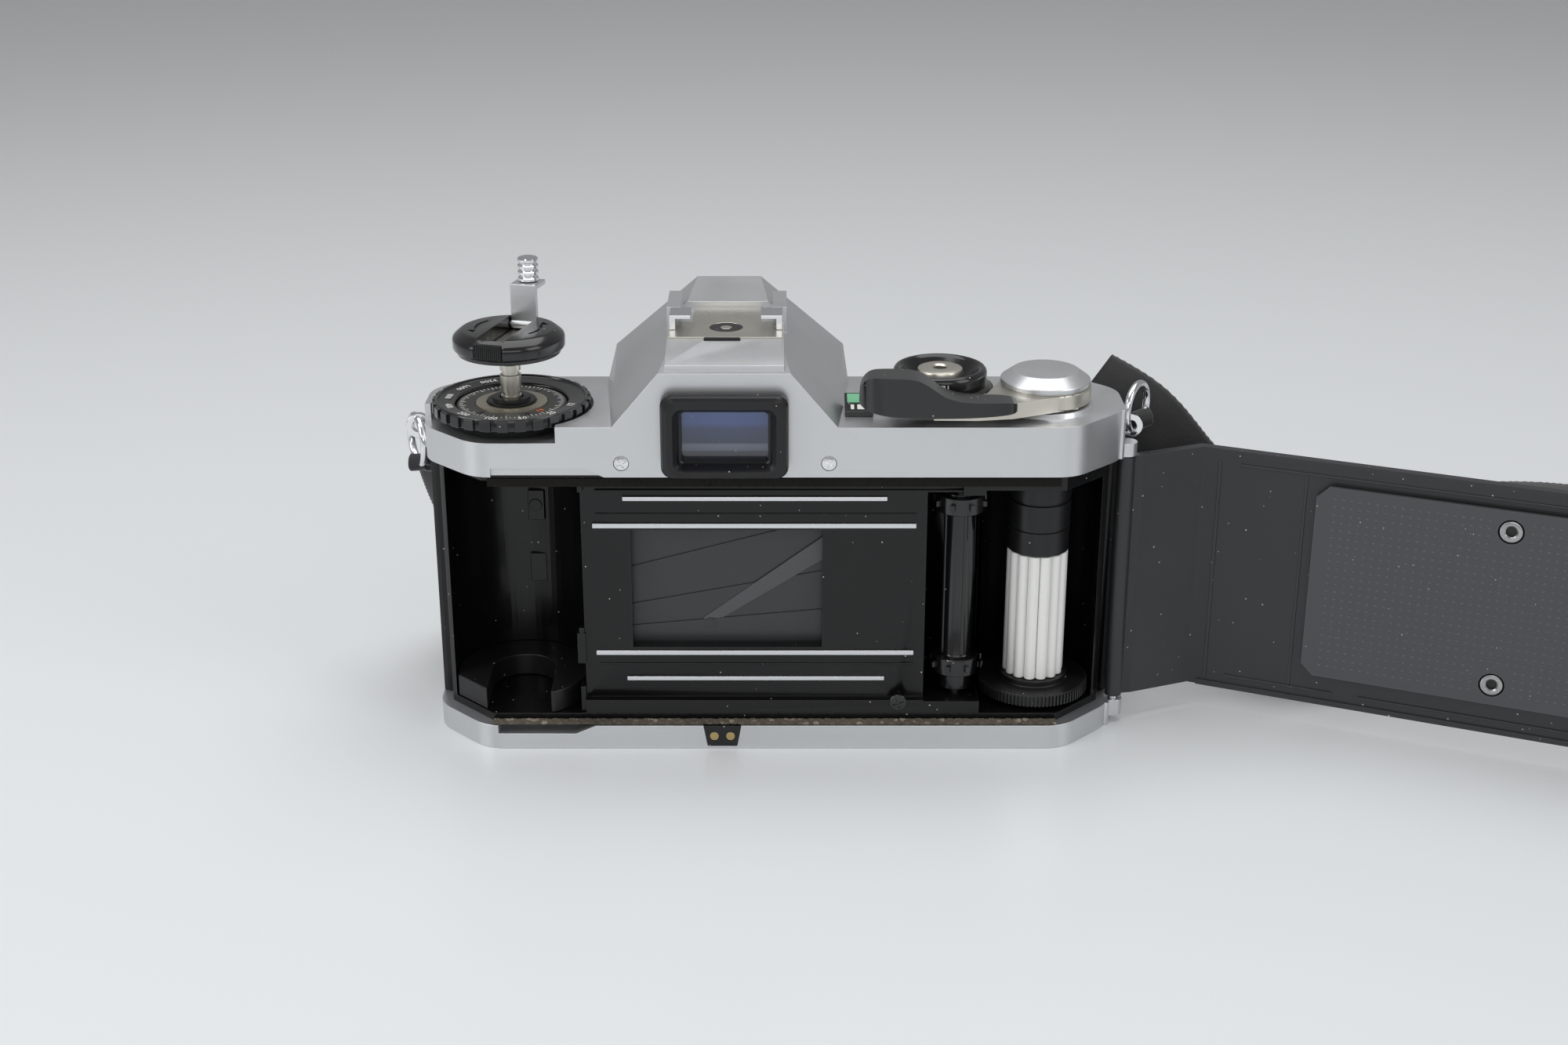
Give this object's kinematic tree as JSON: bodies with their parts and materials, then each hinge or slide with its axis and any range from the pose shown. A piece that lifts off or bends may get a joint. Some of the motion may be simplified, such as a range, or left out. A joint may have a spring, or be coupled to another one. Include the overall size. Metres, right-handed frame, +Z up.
{
  "type": "film camera body",
  "caption": "Compact 35 mm reflex film camera body with hinged open back, lifted rewind knob and crank, lever film advance, accessory shoe, open lens mount and webbing neck strap.",
  "frame": {"origin": "centre of the tripod socket's mouth in the flat base, straight under the lens axis", "axes": "+X to the right seen from behind, +Y out through the lens mount towards the subject, +Z up"},
  "size_m": [0.3072, 0.1815, 0.091],
  "materials": {
    "satin_alloy": "satin, fine sprayed grain",
    "black_paint": "semi-gloss black enamel",
    "door_paint": "satin black enamel",
    "plate_black": "dimpled satin black",
    "black_plastic": "satin moulded",
    "gloss_black": "polished moulded",
    "leatherette": "fine pebbled grain",
    "nickel": "satin nickel",
    "bright_chrome": "bright",
    "steel": "turned",
    "rail_steel": "ground bright",
    "white_plastic": "smooth moulded",
    "brass": "dull",
    "clear_glass": "polished",
    "coated_glass": "blue coated",
    "mirror_glass": "front silvered",
    "screen_matt": "ground",
    "foam": "perished foam",
    "webbing": "ribbed woven nylon",
    "circuit": "lacquered board",
    "dial_grey": "fine turned grey",
    "blade_grey": "thin satin blades"
  },
  "bodies": {
    "camera": {"body_casting": "black_paint", "cassette_cradle": "black_plastic", "film_rails": "rail_steel", "shutter_plate": "black_paint", "shutter_blades": "blade_grey", "film_spindles": "steel", "light_seals": "foam", "base_plate": "satin_alloy", "contact_plate": "black_plastic", "winder_contacts": "brass", "tripod_bush": "steel", "battery": "bright_chrome", "leather_left": "leatherette", "leather_right": "leatherette", "sync_socket": "brass", "mount_housing": "satin_alloy", "lens_mount": "bright_chrome", "mirror_box": "black_paint", "focusing_screen": "screen_matt", "pentaprism": "clear_glass", "top_cover": "satin_alloy", "cover_screws": "bright_chrome", "index_block": "gloss_black", "eyepiece_frame": "black_plastic", "eyepiece_glass": "coated_glass", "shoe_plate": "nickel", "shoe_contact": "black_plastic", "shoe_rails": "bright_chrome", "circuit_board": "circuit", "dial_disc": "dial_grey", "dial_collar": "black_plastic", "hinge_pin": "bright_chrome", "strap_lugs": "bright_chrome", "strap_rings": "bright_chrome", "strap": "webbing"},
    "back_door": {"door_shell": "door_paint", "door_skin": "leatherette", "plate_rivets": "steel", "plate_spring": "steel"},
    "pressure_plate": {"pressure_plate": "plate_black"},
    "rewind_slider": {"rewind_clip": "steel"},
    "rewind_spindle": {"rewind_shaft": "nickel", "rewind_knob": "gloss_black"},
    "rewind_crank": {"crank_arm": "bright_chrome"},
    "crank_knob": {"crank_finger": "bright_chrome"},
    "film_speed_dial": {"film_dial": "gloss_black"},
    "mode_dial": {"mode_dial": "gloss_black"},
    "shutter_button": {"shutter_button": "nickel"},
    "advance_lever": {"lever_arm": "nickel", "lever_tip": "gloss_black", "lever_cap": "satin_alloy"},
    "sprocket": {"sprocket": "gloss_black"},
    "take_up": {"take_up_spool": "black_plastic", "spool_needles": "white_plastic", "spool_flange": "black_plastic"},
    "reflex_mirror": {"reflex_mirror": "mirror_glass"},
    "self_timer": {"self_timer_lever": "gloss_black"},
    "lens_release": {"lens_release": "satin_alloy"},
    "rewind_release": {"rewind_release": "gloss_black"},
    "battery_cover": {"battery_cover": "satin_alloy"}
  },
  "joints": [
    {"name": "back_hinge", "type": "hinge", "parent": "camera", "child": "back_door", "pos_m": [0.0755, -0.0036, 0.03], "axis": [0, 0, 1], "range_deg": [-157.1, 12]},
    {"name": "plate_press", "type": "slide", "parent": "back_door", "child": "pressure_plate", "axis": [0.3891, 0.9212, 0], "range_m": [0, 0.0004], "stiffness_N_per_m": 400},
    {"name": "rewind_lift", "type": "slide", "parent": "camera", "child": "rewind_slider", "axis": [0, 0, 1], "range_m": [-0.0084, 0]},
    {"name": "rewind_turn", "type": "hinge", "parent": "rewind_slider", "child": "rewind_spindle", "pos_m": [-0.0402, -0.0028, 0.07], "axis": [0, 0, 1], "continuous": true},
    {"name": "crank_fold", "type": "hinge", "parent": "rewind_spindle", "child": "rewind_crank", "pos_m": [-0.038, 0.00489, 0.0784], "axis": [0.9613, -0.2756, 0], "range_deg": [0, 90]},
    {"name": "crank_knob_turn", "type": "hinge", "parent": "rewind_crank", "child": "crank_knob", "pos_m": [-0.03731, 0.00729, 0.088], "axis": [0, 0, 1], "continuous": true},
    {"name": "film_speed_turn", "type": "hinge", "parent": "camera", "child": "film_speed_dial", "pos_m": [-0.0402, -0.0028, 0.065], "axis": [0, 0, 1], "range_deg": [-140, 140]},
    {"name": "mode_turn", "type": "hinge", "parent": "camera", "child": "mode_dial", "pos_m": [0.04, -0.0005, 0.068], "axis": [0, 0, 1], "range_deg": [-150, 150]},
    {"name": "shutter_press", "type": "slide", "parent": "camera", "child": "shutter_button", "axis": [0, 0, 1], "range_m": [-0.0008, 0], "stiffness_N_per_m": 800},
    {"name": "advance_stroke", "type": "hinge", "parent": "camera", "child": "advance_lever", "pos_m": [0.0595, -0.003, 0.068], "axis": [0, 0, 1], "range_deg": [0, 130], "stiffness_Nm_per_rad": 0.02},
    {"name": "sprocket_turn", "type": "hinge", "parent": "camera", "child": "sprocket", "pos_m": [0.044, -0.008, 0.03], "axis": [0, 0, 1], "range_deg": [-2, 364]},
    {"name": "spool_turn", "type": "hinge", "parent": "camera", "child": "take_up", "pos_m": [0.0595, -0.003, 0.03], "axis": [0, 0, 1], "range_deg": [-2, 290]},
    {"name": "mirror_flip", "type": "hinge", "parent": "camera", "child": "reflex_mirror", "pos_m": [0, -0.0036, 0.04667], "axis": [1, 0, 0], "range_deg": [0, 45], "stiffness_Nm_per_rad": 0.01},
    {"name": "timer_turn", "type": "hinge", "parent": "camera", "child": "self_timer", "pos_m": [0.045, 0.0145, 0.03347], "axis": [0, 1, 0], "range_deg": [-100, 0]},
    {"name": "lens_release_press", "type": "slide", "parent": "camera", "child": "lens_release", "axis": [0, -1, 0], "range_m": [0, 0.0015], "stiffness_N_per_m": 500},
    {"name": "rewind_release_press", "type": "slide", "parent": "camera", "child": "rewind_release", "axis": [0, 0, 1], "range_m": [0, 0.001], "stiffness_N_per_m": 500},
    {"name": "battery_cover_turn", "type": "hinge", "parent": "camera", "child": "battery_cover", "pos_m": [-0.022, 0.002, 0.001], "axis": [0, 0, 1], "range_deg": [0, 60]}
  ],
  "couplings": [
    {"joint": "sprocket_turn", "follows": "advance_stroke", "ratio": 2.7692},
    {"joint": "spool_turn", "follows": "advance_stroke", "ratio": 2.2}
  ]
}
